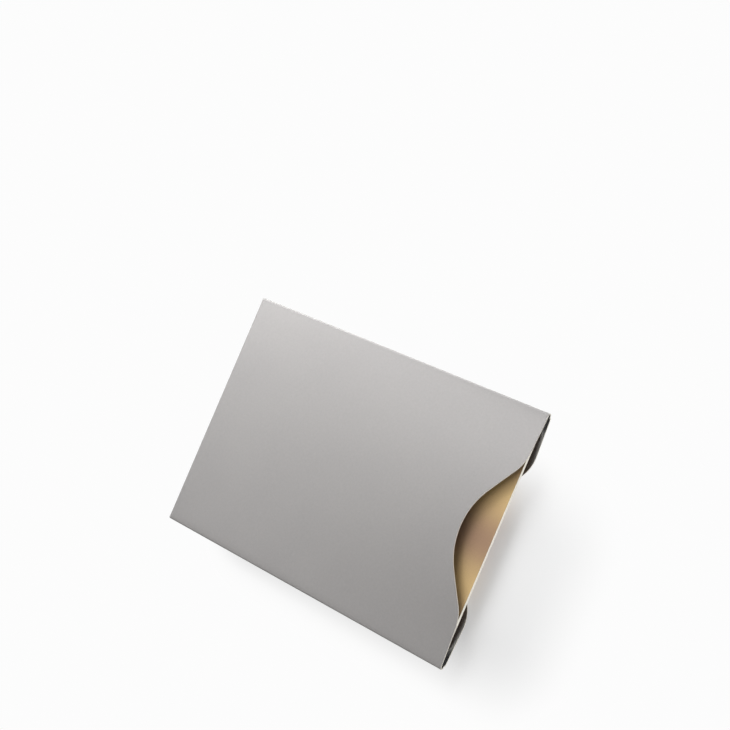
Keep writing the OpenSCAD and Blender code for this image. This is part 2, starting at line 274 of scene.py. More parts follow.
def make_piece(name, points, quads, slots, materials):
    """An object from points in the sleeve's millimetres. Points that nothing uses are dropped,
    those that lie on one another are merged, and edges stay sharp where faces meet steeply."""
    used, corners = np.unique(quads, return_inverse=True)
    mesh = bpy.data.meshes.new(name)
    mesh.from_pydata(placed(points[used]).tolist(), [], corners.reshape(quads.shape).tolist())
    for material in materials:
        mesh.materials.append(material)
    mesh.polygons.foreach_set("material_index", slots)
    mesh.attributes.new("wear", "FLOAT", "POINT").data.foreach_set("value", worn(points[used]))
    welded = bmesh.new()
    welded.from_mesh(mesh)
    bmesh.ops.remove_doubles(welded, verts=welded.verts, dist=WELD * MM)
    welded.to_mesh(mesh)
    welded.free()
    mesh.shade_smooth()
    mesh.set_sharp_from_angle(angle=SMOOTH_UNDER)
    piece = bpy.data.objects.new(name, mesh)
    bpy.context.scene.collection.objects.link(piece)
    return piece


def shell(name, outer, inner, materials, there=None):
    """A closed shell. Cells of the outer grid face out and those of the inner grid face in. Where
    a cell has no neighbour, a wall joins the two grids along that side."""
    rows, columns = outer.shape[:2]
    there = np.ones((rows - 1, columns - 1), bool) if there is None else there
    index = np.arange(rows * columns).reshape(rows, columns)
    a, b, c, d = index[:-1, :-1], index[:-1, 1:], index[1:, 1:], index[1:, :-1]
    under = rows * columns
    padded = np.pad(there, 1)
    sides = (
        (padded[:-2, 1:-1], a, b),
        (padded[1:-1, 2:], b, c),
        (padded[2:, 1:-1], c, d),
        (padded[1:-1, :-2], d, a),
    )
    faces = [np.stack([a, b, c, d], -1)[there], np.stack([a, d, c, b], -1)[there] + under]
    for neighbour, start, end in sides:
        open_side = there & ~neighbour
        wall = np.stack([start, start + under, end + under, end], -1)
        faces.append(wall[open_side])
    kinds = np.repeat([FACE_OUT, FACE_IN] + [FACE_CUT] * len(sides), [len(f) for f in faces])
    points = np.concatenate([outer.reshape(-1, 3), inner.reshape(-1, 3)])
    return make_piece(name, points, np.concatenate(faces), kinds, materials)


print("edges stay sharp from", round(math.degrees(SMOOTH_UNDER)), "degrees")

# %% [markdown]
# A layer lies at a depth under a panel's outer face. The depth is measured square to the face, so
# that the paper keeps its thickness on a slope. Towards a cut edge the depth grows along a quarter
# circle, which rounds the edge as a blade and some use leave it.

# %% Points on a panel
SLOPE_STEP = 0.001
EDGE_R = 0.045
# Distances from a cut edge: far enough to lie on the flat sheet, then closer round the edge.
EDGE_STATIONS = EDGE_R * np.array([12, 5, 2.2, 1.4, 1, 0.6, 0.3, 0.1, 0])


def edge_roll(distance):
    """Depth of a rounded edge: its radius less the height of a quarter circle over the distance."""
    short = np.clip(EDGE_R - distance, 0, EDGE_R)
    return EDGE_R - np.sqrt(EDGE_R**2 - short**2)


def slopes(height, x, y):
    """Height, and its slopes along x and y, both taken on the panel's inner side of the point."""
    side = np.where(y < 0, -1, 1) * SLOPE_STEP
    level = height(x, y)
    along = (height(x + SLOPE_STEP, y) - level) / SLOPE_STEP
    return level, along, (level - height(x, y - side)) / side


def panel_points(x, y, height, facing, depth):
    """Points of a panel at a depth along its normal. facing is 1 for the front and -1 for the back."""
    x, y = np.broadcast_arrays(x, y)
    level, along, across = slopes(height, x, y)
    length = np.sqrt(1 + along**2 + across**2)
    return np.stack(
        [x + depth * along / length, y + depth * across / length, facing * (level - depth / length)],
        -1,
    )


def spread(start, end, steps):
    """Evenly spaced stations from the start up to, and without, the end."""
    return np.linspace(start, end, steps, endpoint=False)


def along_panel(first, y, steps):
    """Distances along a panel for each row: the first stations, which all rows share, even steps
    from the flat stretch to near the mouth's edge, then close steps around that edge."""
    edge = (SLEEVE_L - notch_cut(y))[:, None]
    first = np.broadcast_to(first, (len(y), len(first)))
    near = edge - EDGE_STATIONS[0]
    middle = FLAT_L + (near - FLAT_L) * np.arange(steps) / steps
    return np.concatenate([first, middle, edge - EDGE_STATIONS], 1), edge


print("edges are rounded to", EDGE_R, "mm")

# %% [markdown]
# Before any piece is made it needs something to wear. Node materials are built with one helper
# that adds a node, sets it up and joins its sockets. Colours are written as the hex values that a
# painter would pick from a screen and are turned to linear light once.

# %% Helpers for materials
MIX_FACTOR, MIX_A, MIX_B, MIX_RESULT = 0, 6, 7, 2


def linear(code):
    """sRGB hex to linear: each share of 255 over 12.92 where dark, else its 2.4th power after
    0.055 is added and the sum divided by 1.055."""
    shares = [int(code[i : i + 2], 16) / 255 for i in (1, 3, 5)]
    return (*[c / 12.92 if c <= 0.04045 else ((c + 0.055) / 1.055) ** 2.4 for c in shares], 1.0)


def add(tree, kind, inputs=None, **settings):
    """Adds a node. Its settings are set by name, and each input is a value or a socket to join."""
    node = tree.nodes.new(kind)
    for key, value in settings.items():
        setattr(node, key, value)
    for key, value in (inputs or {}).items():
        if isinstance(value, bpy.types.NodeSocket):
            tree.links.new(value, node.inputs[key])
        else:
            node.inputs[key].default_value = value
    return node


def surface(name):
    """A new material with an empty tree, its object coordinates and its Principled shader."""
    material = bpy.data.materials.new(name)
    material.use_nodes = True
    tree = material.node_tree
    tree.nodes.clear()
    shader = add(tree, "ShaderNodeBsdfPrincipled")
    add(tree, "ShaderNodeOutputMaterial", {"Surface": shader.outputs["BSDF"]})
    where = add(tree, "ShaderNodeTexCoord").outputs["Object"]
    return material, tree, where, shader.inputs


def per_mm(size):
    """Scale of a pattern whose features are that many millimetres wide, in coordinates of metres."""
    return 1 / (size * MM)


print("a pattern of 1 mm has a scale of", per_mm(1))

# %% [markdown]
# **Coated paper, printed with silver ink.** The sheet is art paper with a silver ink under a satin
# varnish. The ink's flakes give it a soft metallic sheen, so it goes pale towards a light and
# stays a flat grey elsewhere. Seen close it has clouds from uneven ink, the fine tooth of the
# paper and, along the folds, varnish that has cracked and lets pale fibre show. The tooth is
# really finer than 0.1 mm and is drawn at 0.25 mm so that it shows at all.

# %% Silver printed paper
INK = "#afacab"
INK_PALE = "#b6b3b1"
FIBRE_PALE = "#d8d5cf"
INK_METALLIC = 0.35
WORN_DULLER, WORN_ROUGHER = 0.25, 0.2


def silver_printed_paper():
    """Satin silver ink on coated paper: part metallic, with clouds, tooth and worn folds."""
    material, tree, where, shader = surface("silver_printed_coated_paper")
    clouds = add(tree, "ShaderNodeTexNoise", {"Vector": where, "Scale": per_mm(14), "Detail": 4.0})
    ink = add(tree, "ShaderNodeMix", {
        MIX_FACTOR: clouds.outputs["Fac"], MIX_A: linear(INK), MIX_B: linear(INK_PALE),
    }, data_type="RGBA")
    mottle = add(tree, "ShaderNodeTexNoise", {
        "Vector": where, "Scale": per_mm(0.5), "Detail": 3.0, "Roughness": 0.7,
    })
    strength = add(tree, "ShaderNodeMapRange", {
        "Value": mottle.outputs["Fac"], "From Min": 0.25, "From Max": 0.75,
        "To Min": 0.955, "To Max": 1.045,
    })
    printed = add(tree, "ShaderNodeVectorMath", {
        0: ink.outputs[MIX_RESULT], 1: strength.outputs["Result"],
    }, operation="MULTIPLY")
    wear = add(tree, "ShaderNodeAttribute", attribute_name="wear").outputs["Fac"]
    cracks = add(tree, "ShaderNodeTexNoise", {
        "Vector": where, "Scale": per_mm(0.35), "Detail": 4.0, "Roughness": 0.8,
    })
    shown = add(tree, "ShaderNodeMath", {0: wear, 1: cracks.outputs["Fac"]}, operation="MULTIPLY")
    fibre = add(tree, "ShaderNodeMapRange", {"Value": shown.outputs[0], "From Min": 0.42, "From Max": 0.7})
    colour = add(tree, "ShaderNodeMix", {
        MIX_FACTOR: fibre.outputs["Result"], MIX_A: printed.outputs[0], MIX_B: linear(FIBRE_PALE),
    }, data_type="RGBA")
    tree.links.new(colour.outputs[MIX_RESULT], shader["Base Color"])
    gloss = add(tree, "ShaderNodeMapRange", {
        "Value": clouds.outputs["Fac"], "From Min": 0.3, "From Max": 0.7, "To Min": 0.55, "To Max": 0.61,
    })
    rubbed = add(tree, "ShaderNodeMath", {
        0: wear, 1: WORN_ROUGHER, 2: gloss.outputs["Result"],
    }, operation="MULTIPLY_ADD")
    tree.links.new(rubbed.outputs[0], shader["Roughness"])
    flakes_left = add(tree, "ShaderNodeMath", {
        0: wear, 1: -WORN_DULLER, 2: INK_METALLIC,
    }, operation="MULTIPLY_ADD")
    tree.links.new(flakes_left.outputs[0], shader["Metallic"])
    tooth = add(tree, "ShaderNodeTexNoise", {"Vector": where, "Scale": per_mm(0.25), "Detail": 2.0})
    grain = add(tree, "ShaderNodeBump", {
        "Height": tooth.outputs["Fac"], "Strength": 0.35, "Distance": 0.012 * MM,
    })
    wave = add(tree, "ShaderNodeTexNoise", {"Vector": where, "Scale": per_mm(2.4), "Detail": 3.0})
    relief = add(tree, "ShaderNodeBump", {
        "Height": wave.outputs["Fac"], "Strength": 0.5, "Distance": 0.03 * MM,
        "Normal": grain.outputs["Normal"],
    })
    tree.links.new(relief.outputs["Normal"], shader["Normal"])
    shader["IOR"].default_value = 1.5
    return material


PAPER = silver_printed_paper()
print(PAPER.name, "has", len(PAPER.node_tree.nodes), "nodes")

# %% [markdown]
# **The cut edge of the paper.** Where the blank was die cut, the white stock inside the print
# shows as a thin cream line. It is matt and fibrous.

# %% Cut paper stock
STOCK_CREAM, STOCK_PALE = "#cfc8b8", "#f2ede1"
STREAKS_ALONG_Z = (1.0, 1.0, 0.25)


def cut_paper_stock():
    """Cream paper fibre: matt, with short streaks across the thickness."""
    material, tree, where, shader = surface("cut_cream_paper_stock")
    stretched = add(tree, "ShaderNodeMapping", {"Vector": where, "Scale": STREAKS_ALONG_Z})
    streaks = add(tree, "ShaderNodeTexNoise", {
        "Vector": stretched.outputs[0], "Scale": per_mm(0.12), "Detail": 4.0,
    })
    colour = add(tree, "ShaderNodeMix", {
        MIX_FACTOR: streaks.outputs["Fac"], MIX_A: linear(STOCK_CREAM), MIX_B: linear(STOCK_PALE),
    }, data_type="RGBA")
    tree.links.new(colour.outputs[MIX_RESULT], shader["Base Color"])
    bump = add(tree, "ShaderNodeBump", {
        "Height": streaks.outputs["Fac"], "Strength": 0.5, "Distance": 0.02 * MM,
    })
    tree.links.new(bump.outputs["Normal"], shader["Normal"])
    shader["Roughness"].default_value = 0.85
    return material


STOCK = cut_paper_stock()
LINED_PAPER = [PAPER, STOCK, STOCK]
print(STOCK.name, "has", len(STOCK.node_tree.nodes), "nodes")

# %% [markdown]
# **Aluminium foil.** The lining is rolled foil, bonded with its satin side in. Rolling leaves
# hairlines along its length, and folding the blank has left soft dents.

# %% Aluminium foil
FOIL_GREY, FOIL_PALE = "#98999b", "#b6b7b9"
HAIRLINES_ALONG_X = (0.04, 1.0, 1.0)


def aluminium_foil():
    """Rolled aluminium: fully metallic, with hairlines along x and soft dents."""
    material, tree, where, shader = surface("satin_aluminium_foil")
    lines = add(tree, "ShaderNodeMapping", {"Vector": where, "Scale": HAIRLINES_ALONG_X})
    hair = add(tree, "ShaderNodeTexNoise", {
        "Vector": lines.outputs[0], "Scale": per_mm(0.2), "Detail": 3.0,
    })
    colour = add(tree, "ShaderNodeMix", {
        MIX_FACTOR: hair.outputs["Fac"], MIX_A: linear(FOIL_GREY), MIX_B: linear(FOIL_PALE),
    }, data_type="RGBA")
    tree.links.new(colour.outputs[MIX_RESULT], shader["Base Color"])
    satin = add(tree, "ShaderNodeMapRange", {
        "Value": hair.outputs["Fac"], "From Min": 0.3, "From Max": 0.7, "To Min": 0.30, "To Max": 0.42,
    })
    tree.links.new(satin.outputs["Result"], shader["Roughness"])
    dents = add(tree, "ShaderNodeTexNoise", {"Vector": where, "Scale": per_mm(3.5), "Detail": 2.0})
    dented = add(tree, "ShaderNodeBump", {
        "Height": dents.outputs["Fac"], "Strength": 0.6, "Distance": 0.1 * MM,
    })
    lined = add(tree, "ShaderNodeBump", {
        "Height": hair.outputs["Fac"], "Strength": 0.4, "Distance": 0.01 * MM,
        "Normal": dented.outputs["Normal"],
    })
    tree.links.new(lined.outputs["Normal"], shader["Normal"])
    shader["Metallic"].default_value = 1.0
    return material


FOIL = aluminium_foil()
print(FOIL.name, "has", len(FOIL.node_tree.nodes), "nodes")

# %% [markdown]
# ** The card.** Its faces are printed in a gold pearl ink under a clear overlay film. Pearl ink is
# made of mica flakes, so it is partly metallic. Its colour runs in broad soft bands across the card,
# from yellow gold to a darker pinkish tan, and these bands are painted shade. The darker tan lies
# across the card's middle, in the notch, where the front panel's edge shades the card. The film
# adds a second, smoother reflection, and the coat of the shader stands for it.

# %% Gold pearl print under clear film, with painted shade
GOLD_YELLOW = "#debf8a"
GOLD_TAN_SHADE = "#ae8e73"
# The bands' start puts the painted shade, the darker tan, across the card's middle.
BAND_W, BAND_START, BAND_DRIFT = 22, 3.1, 0.4


def gold_print_and_painted_shade():
    """Pearl ink with painted shade: the cosine of the place across the card sets a darker tan across
    its middle, bent by a noise, with fine flakes and a clear film over it."""
    material, tree, where, shader = surface("gold_pearl_print_on_pvc")
    drift = add(tree, "ShaderNodeTexNoise", {"Vector": where, "Scale": per_mm(26), "Detail": 1.0})
    place = add(tree, "ShaderNodeSeparateXYZ", {0: where})
    turns = add(tree, "ShaderNodeMath", {
        0: place.outputs["Y"], 1: 2 * math.pi * per_mm(BAND_W), 2: BAND_START,
    }, operation="MULTIPLY_ADD")
    bent = add(tree, "ShaderNodeMath", {
        0: drift.outputs["Fac"], 1: BAND_DRIFT, 2: turns.outputs[0],
    }, operation="MULTIPLY_ADD")
    wave = add(tree, "ShaderNodeMath", {0: bent.outputs[0]}, operation="COSINE")
    # Darker tan where the cosine is -1: painted shade across the card's middle.
    tan_shade = add(tree, "ShaderNodeMapRange", {"Value": wave.outputs[0], "From Min": 1.0, "From Max": -1.0})
    gold = add(tree, "ShaderNodeMix", {
        MIX_FACTOR: tan_shade.outputs["Result"], MIX_A: linear(GOLD_YELLOW), MIX_B: linear(GOLD_TAN_SHADE),
    }, data_type="RGBA")
    flakes = add(tree, "ShaderNodeTexNoise", {
        "Vector": where, "Scale": per_mm(0.18), "Detail": 2.0, "Roughness": 0.8,
    })
    strength = add(tree, "ShaderNodeMapRange", {
        "Value": flakes.outputs["Fac"], "From Min": 0.3, "From Max": 0.7, "To Min": 0.92, "To Max": 1.08,
    })
    colour = add(tree, "ShaderNodeVectorMath", {
        0: gold.outputs[MIX_RESULT], 1: strength.outputs["Result"],
    }, operation="MULTIPLY")
    tree.links.new(colour.outputs[0], shader["Base Color"])
    peel = add(tree, "ShaderNodeTexNoise", {"Vector": where, "Scale": per_mm(1.2), "Detail": 2.0})
    bump = add(tree, "ShaderNodeBump", {
        "Height": peel.outputs["Fac"], "Strength": 0.3, "Distance": 0.015 * MM,
    })
    tree.links.new(bump.outputs["Normal"], shader["Normal"])
    shader["Metallic"].default_value = 0.6
    shader["Roughness"].default_value = 0.54
    shader["Coat Weight"].default_value = 0.1
    shader["Coat Roughness"].default_value = 0.18
    return material


GOLD = gold_print_and_painted_shade()
print(GOLD.name, "has", len(GOLD.node_tree.nodes), "nodes")

# %% [markdown]
# The card's inside is white vinyl with a copper antenna pressed into it and a chip in dark resin.
# They are only seen as a thin white line on the card's rim, but each still gets its own finish.

# %% Vinyl, copper, resin and glue
def plain_finish(name, dark, pale, size, roughness, metallic, depth):
    """A finish with one noise: it drifts between two colours and raises a bump of some depth."""
    material, tree, where, shader = surface(name)
    noise = add(tree, "ShaderNodeTexNoise", {"Vector": where, "Scale": per_mm(size), "Detail": 4.0})
    colour = add(tree, "ShaderNodeMix", {
        MIX_FACTOR: noise.outputs["Fac"], MIX_A: linear(dark), MIX_B: linear(pale),
    }, data_type="RGBA")
    tree.links.new(colour.outputs[MIX_RESULT], shader["Base Color"])
    bump = add(tree, "ShaderNodeBump", {
        "Height": noise.outputs["Fac"], "Strength": 0.4, "Distance": depth * MM,
    })
    tree.links.new(bump.outputs["Normal"], shader["Normal"])
    shader["Roughness"].default_value = roughness
    shader["Metallic"].default_value = metallic
    return material


VINYL = plain_finish("white_vinyl_core", "#e6e2d6", "#f4f1e9", 0.6, 0.5, 0.0, 0.01)
COPPER = plain_finish("drawn_copper_wire", "#a35a34", "#c4784c", 0.15, 0.3, 1.0, 0.004)
RESIN = plain_finish("black_chip_resin", "#303236", "#44474b", 0.3, 0.6, 0.0, 0.01)
GLUE = plain_finish("dried_paper_glue", "#e2dcc8", "#efeadc", 1.5, 0.45, 0.0, 0.01)
print("materials so far:", [m.name for m in bpy.data.materials])

# %% [markdown]
# **The front panel** is what the photograph is about: one smooth face between the folds, cut at
# the mouth along the thumb notch. Its rows run across and its columns run along the sleeve. The
# columns lean over with the notch, so that the cut is a clean curve and not a staircase.

# %% Front panel and its foil
PANEL_ROWS, PANEL_STEPS = 151, 110
FOIL_ROWS, FOIL_STEPS = 91, 70
FRONT_START = END_ROOM + np.array([0, 0.03, 0.07, 0.13, 0.22])
FRONT_FIRST = np.concatenate([FRONT_START, spread(2.0, FLAT_L, 26)])


def front_layer(name, rows, steps, top, bottom, roll, materials):
    """The front panel between two depths. roll is 1 for a rounded edge at the mouth, else 0."""
    y = np.linspace(-RISE_Y, RISE_Y, rows)
    x, edge = along_panel(FRONT_FIRST, y, steps)
    rounded = roll * edge_roll(edge - x)
    outer = panel_points(x, y[:, None], front_height, 1, top + rounded)
    inner = panel_points(x, y[:, None], front_height, 1, bottom - rounded)
    return shell(name, outer, inner, materials)


front_panel = front_layer("front_panel_sheet", PANEL_ROWS, PANEL_STEPS, 0, PAPER_T, 1, LINED_PAPER)
front_foil = front_layer("front_foil_lining", FOIL_ROWS, FOIL_STEPS, FOIL_TOP, WALL_T, 0, [FOIL] * 3)
print("front panel:", len(front_panel.data.polygons), "faces")

# %% [markdown]
# **The back panel** is glued on over the two flaps and stops short of the side folds, so its long
# edges are cut edges too. Between the flaps it has sunk a little towards the card, which draws the
# flaps' edges through the paper as two faint steps.

# %% Back panel and its foil
SIDE_STRIP = spread(BACK_Y - EDGE_STATIONS[0], RISE_Y, 8)[1:]
SIDE_STATIONS = np.concatenate([BACK_Y - EDGE_STATIONS[::-1], SIDE_STRIP])
BACK_START = END_ROOM + np.array([0, 0.03, 0.08, 0.16, 0.3, 0.5, 0.8, 1.1])
BACK_FIRST = np.concatenate([BACK_START, spread(3.0, FLAT_L, 26)])
# Beside the end fold the long edges are square, as the fold is, and are round from here on.
ROUNDING_EASE = 1.0


def back_layer(name, rows, steps, top, bottom, roll, materials):
    """The back panel between two depths. Rows run from +y to -y, so that its outside faces down."""
    middle = np.linspace(RISE_Y, -RISE_Y, rows)
    y = np.concatenate([SIDE_STATIONS, middle, -SIDE_STATIONS[::-1]])
    x, edge = along_panel(BACK_FIRST, y, steps)
    at_side = np.maximum(BACK_Y - np.abs(y)[:, None], EDGE_R * (1 - eased((x - END_ROOM) / ROUNDING_EASE)))
    rounded = roll * edge_roll(np.minimum(edge - x, at_side))
    outer = panel_points(x, y[:, None], back_height, -1, top + rounded)
    inner = panel_points(x, y[:, None], back_height, -1, bottom - rounded)
    return shell(name, outer, inner, materials)


back_panel = back_layer("back_panel_sheet", PANEL_ROWS, PANEL_STEPS, 0, PAPER_T, 1, LINED_PAPER)
back_foil = back_layer("back_foil_lining", FOIL_ROWS, FOIL_STEPS, FOIL_TOP, WALL_T, 0, [FOIL] * 3)
print("back panel:", len(back_panel.data.polygons), "faces")

# %% [markdown]
# **The folds.** A crease in paper is a tight round nose that runs smoothly into both panels. Its
# profile is two short curves, each pulled towards the corner where the panel's own slope would
# meet the front of the fold. The same curves at a greater depth give the inside of the paper and
# the foil, so the sheet keeps its thickness round the bend.

# %% Profile of a fold's nose
NOSE_STEPS = 8
NOSE_T = np.linspace(-1, 1, 2 * NOSE_STEPS + 1)
# The inside of the bend never closes to less than this.
LEAST_BEND = 0.02


def nose(t, depth, slope_under, slope_over):
    """Distance in from the fold and height, for t from -1 (underside) over 0 (front) to 1 (top).
    Each half is a quadratic curve: one minus t squared times the front, twice t times one minus t
    times the corner, and t squared times the panel's first point."""
    slope = np.where(t < 0, slope_under, slope_over)
    length = np.sqrt(1 + slope**2)
    end_in = FOLD_R + depth * slope / length
    end_up = np.where(t < 0, FOLD_R, CREASE_UP) - depth / length
    corner_up = np.maximum(end_up - slope * (end_in - depth), LEAST_BEND)
    s = np.abs(t)
    inward = (1 - s**2) * depth + s**2 * end_in
    up = 2 * s * (1 - s) * corner_up + s**2 * end_up
    return inward, np.sign(t) * up


print("a fold's nose has", len(NOSE_T), "points")

# %% [markdown]
# **The side folds** join the front panel to the flaps. Each runs from the closed end to the mouth,
# with the strip of the front panel that rises from it and, under it, the strip of the flap. The
# flap is shorter than the fold, so the mask leaves out the cells beyond its slanted ends.

# %% Side folds
STRIP_T = np.linspace(0, 1, 13)
LEAD = spread(FOLD_R, FLAP_END, 18)
TAIL_START = spread(SLEEVE_L - FLAP_END, SLEEVE_L - EDGE_STATIONS[0], 5)
TAIL = np.concatenate([TAIL_START, SLEEVE_L - EDGE_STATIONS])
FOLD_STEPS = 70
CORNER_ROWS = 3


def flap_cut(y):
    """Where a flap starts at a distance from the middle: both its ends are cut at a slant."""
    return FLAP_END + FLAP_SLANT * (FOLD_Y - y) / (FLAP_W - FOLD_R)


def along_fold(y):
    """Stations for each row: the lead, the flap from one slanted end to the other, the tail."""
    start = flap_cut(y)[:, None]
    middle = start + (SLEEVE_L - 2 * start) * np.arange(FOLD_STEPS) / FOLD_STEPS
    lead = np.broadcast_to(LEAD, (len(y), len(LEAD)))
    tail = np.broadcast_to(TAIL, (len(y), len(TAIL)))
    return np.concatenate([lead, middle, tail], 1)


def side_fold_grid(side, depth, roll):
    """One surface of a side fold, drawn at +y: the front strip, the nose and the flap's strip.
    roll is 1 where a rounded end at the mouth adds to the depth, -1 where it takes from it."""

    def own_front(x, y):
        """The front panel's height on the fold's own side."""
        return front_height(x, side * y)

    y = RISE_Y + SIDE_RISE_L * STRIP_T[:-1]
    x = along_fold(np.array([FOLD_Y]))
    depth = depth + roll * edge_roll(SLEEVE_L - x)
    front = panel_points(x, y[:, None], own_front, 1, depth)
    back = panel_points(along_fold(y[::-1]), y[::-1, None], flap_height, -1, depth)
    over = -slopes(own_front, x, np.full_like(x, FOLD_Y))[2]
    under = -slopes(flap_height, np.full_like(x, FLAP_END), np.full_like(x, FOLD_Y))[2]
    under = under * np.clip((x - FOLD_R) / (FLAP_END - FOLD_R), 0, 1)
    inward, up = nose(NOSE_T[::-1, None], depth, under, over)
    bend = np.stack([np.broadcast_to(x, up.shape), HALF_W - inward, up], -1)
    return np.concatenate([front, bend, back])


def mirrored(outer, inner, there, side):
    """The grids and mask for that side: at the bottom y changes sign and the rows turn round, so
    that the faces still point out."""
    if side > 0:
        return outer, inner, there
    return outer[::-1] * (1, -1, 1), inner[::-1] * (1, -1, 1), there[::-1]


def side_fold(name, side, top, bottom, roll, materials):
    """A side fold between two depths. Beyond the flap's ends it has no flap strip, but for the
    few rows next to the fold that close the mouth's corner."""
    outer, inner = side_fold_grid(side, top, roll), side_fold_grid(side, bottom, -roll)
    there = np.ones(np.subtract(outer.shape[:2], 1), bool)
    flap_rows = len(STRIP_T) - 1
    there[-flap_rows:, : len(LEAD)] = False
    there[CORNER_ROWS - flap_rows :, len(LEAD) + FOLD_STEPS :] = False
    outer, inner, there = mirrored(outer, inner, there, side)
    return shell(name, outer, inner, materials, there)


side_pieces = {}
for side, word in ((1, "top"), (-1, "bottom")):
    crease = side_fold(f"{word}_side_fold_crease", side, 0, PAPER_T, 1, LINED_PAPER)
    lining = side_fold(f"{word}_fold_foil_lining", side, FOIL_TOP, WALL_T, 0, [FOIL] * 3)
    side_pieces[f"{word}_side_fold"], side_pieces[f"{word}_fold_foil"] = crease, lining
print("side folds:", len(crease.data.polygons), "faces each")

# %% [markdown]
# **The glue flaps** go on from the side folds under the back panel. Their free edge and slanted
# ends are cut edges, so the depth is rolled along three sides and left alone at the fold.

# %% Glue flaps and their foil
FLAP_ROWS = np.concatenate([spread(RISE_Y, FLAP_Y + EDGE_STATIONS[0], 20), FLAP_Y + EDGE_STATIONS])


def flap_layer(name, side, top, bottom, roll, materials):
    """A glue flap between two depths, from the fold's strip to its free edge."""
    start = flap_cut(FLAP_ROWS)[:, None]
    near = start + EDGE_STATIONS[::-1]
    middle = near[:, -1:] + (SLEEVE_L - 2 * near[:, -1:]) * np.arange(1, FOLD_STEPS) / FOLD_STEPS
    x = np.concatenate([near, middle, SLEEVE_L - near[:, ::-1]], 1)
    y = FLAP_ROWS[:, None]
    to_end = np.minimum(x - start, SLEEVE_L - start - x)
    rounded = roll * edge_roll(np.minimum(to_end, y - FLAP_Y))
    outer = panel_points(x, y, flap_height, -1, top + rounded)
    inner = panel_points(x, y, flap_height, -1, bottom - rounded)
    there = np.ones(np.subtract(outer.shape[:2], 1), bool)
    outer, inner, there = mirrored(outer, inner, there, side)
    return shell(name, outer, inner, materials, there)


for side, word in ((1, "top"), (-1, "bottom")):
    flap = flap_layer(f"{word}_flap_sheet", side, 0, PAPER_T, 1, LINED_PAPER)
    lining = flap_layer(f"{word}_flap_foil_lining", side, FOIL_TOP, WALL_T, 0, [FOIL] * 3)
    side_pieces[f"{word}_glue_flap"], side_pieces[f"{word}_flap_foil"] = flap, lining
print("flaps:", len(flap.data.polygons), "faces each")

# %% [markdown]
# **The end fold** joins the two panels at the closed end. It is the side folds' profile carried
# across the sleeve, and at both corners it turns through a quarter circle to meet them. All the
# points of a turn meet in one pole, which merging doubles closes.

# %% End fold
STRIP_X = np.linspace(FOLD_R, END_ROOM, 10)
SEAM_ROWS = np.linspace(BACK_Y, FOLD_Y, 5)
HALF_ROWS = np.concatenate([spread(0, RISE_Y, 30), spread(RISE_Y, BACK_Y, 11), SEAM_ROWS])
END_ROWS = np.concatenate([-HALF_ROWS[:0:-1], HALF_ROWS])
TURN = np.linspace(0, np.pi / 2, 9)[1:, None]


def end_fold_grid(depth):
    """One surface of the end fold: the back strip, the nose and the front strip."""
    y = END_ROWS[:, None]
    back = panel_points(STRIP_X[:0:-1], y, back_height, -1, depth)
    front = panel_points(STRIP_X[1:], y, front_height, 1, depth)
    over = slopes(front_height, np.full_like(y, FOLD_R), y)[1]
    under = slopes(back_height, np.full_like(y, FOLD_R), y)[1]
    under = under * np.clip((FOLD_Y - np.abs(y)) / (FOLD_Y - BACK_Y), 0, 1)
    inward, up = nose(NOSE_T, depth, under, over)
    bend = np.stack([inward, np.broadcast_to(y, up.shape), up], -1)
    return np.concatenate([back, bend, front], 1)


def corner_grid(depth, side):
    """The nose turned about the corner's upright axis: x is the fold's radius less the reach times
    the cosine, and y the fold's line plus the reach times the sine."""
    inward, up = nose(NOSE_T, depth, 0, 0)
    reach = FOLD_R - inward
    x, y = FOLD_R - reach * np.cos(TURN), side * (FOLD_Y + reach * np.sin(TURN))
    turned = np.stack([x, y, np.broadcast_to(up, x.shape)], -1)
    strips = len(STRIP_X) - 1
    return np.pad(turned, ((0, 0), (strips, strips), (0, 0)), "edge")


def end_fold(name, top, bottom, materials):
    """The end fold between two depths. Its strips are only as wide as the panels that they meet."""
    grids = [
        np.concatenate([corner_grid(d, -1)[::-1], end_fold_grid(d), corner_grid(d, 1)])
        for d in (top, bottom)
    ]
    rows = np.concatenate([np.full(len(TURN), -HALF_W), END_ROWS, np.full(len(TURN), HALF_W)])
    y = np.abs(rows[:-1] + rows[1:])[:, None] / 2
    column = np.arange(grids[0].shape[1] - 1)
    strips = len(STRIP_X) - 1
    on_back = (column < strips) & (y < BACK_Y)
    on_front = (column >= len(column) - strips) & (y < RISE_Y)
    on_nose = (column >= strips) & (column < len(column) - strips)
    return shell(name, *grids, materials, on_back | on_front | on_nose)


end_crease = end_fold("end_fold_crease", 0, PAPER_T, LINED_PAPER)
end_lining = end_fold("end_fold_foil_lining", FOIL_TOP, WALL_T, [FOIL] * 3)
print("end fold:", len(end_crease.data.polygons), "faces")

# %% [markdown]
# **The card's printed sheets.** A card is pressed from four sheets and punched out, which leaves
# its rim square with a hair of rounding. Each printed sheet is a profile carried round the
# card's outline. Inside, the outline shrinks towards the card's own middle line, so that the
# face has a few broad rings and closes along that line.

# %% Printed sheets of the card
CORNER_STEPS = 14
SIDE_STEPS = 16
RIM_R = 0.03
RIM_ANGLES = np.linspace(0, np.pi / 2, 6)
FACE_SHARES = np.array([0, 0.3, 0.6, 0.85, 0.97])
FACE_INKED, FACE_PLAIN = 0, 1


def card_outline():
    """Rounded rectangle about its own middle: four quarter circles, with stations on the sides."""
    straight = np.array([CARD_L / 2 - CARD_CORNER_R, CARD_W / 2 - CARD_CORNER_R])
    turn = np.linspace(0, np.pi / 2, CORNER_STEPS)
    centres = straight * ((1, 1), (-1, 1), (-1, -1), (1, -1))
    points = []
    for quarter, (centre, following) in enumerate(zip(centres, np.roll(centres, -1, 0))):
        angle = turn + quarter * np.pi / 2
        arc = centre + CARD_CORNER_R * np.stack([np.cos(angle), np.sin(angle)], -1)
        share = np.arange(1, SIDE_STEPS)[:, None] / SIDE_STEPS
        points += [arc, arc[-1] + (following - centre) * share]
    return np.concatenate(points)


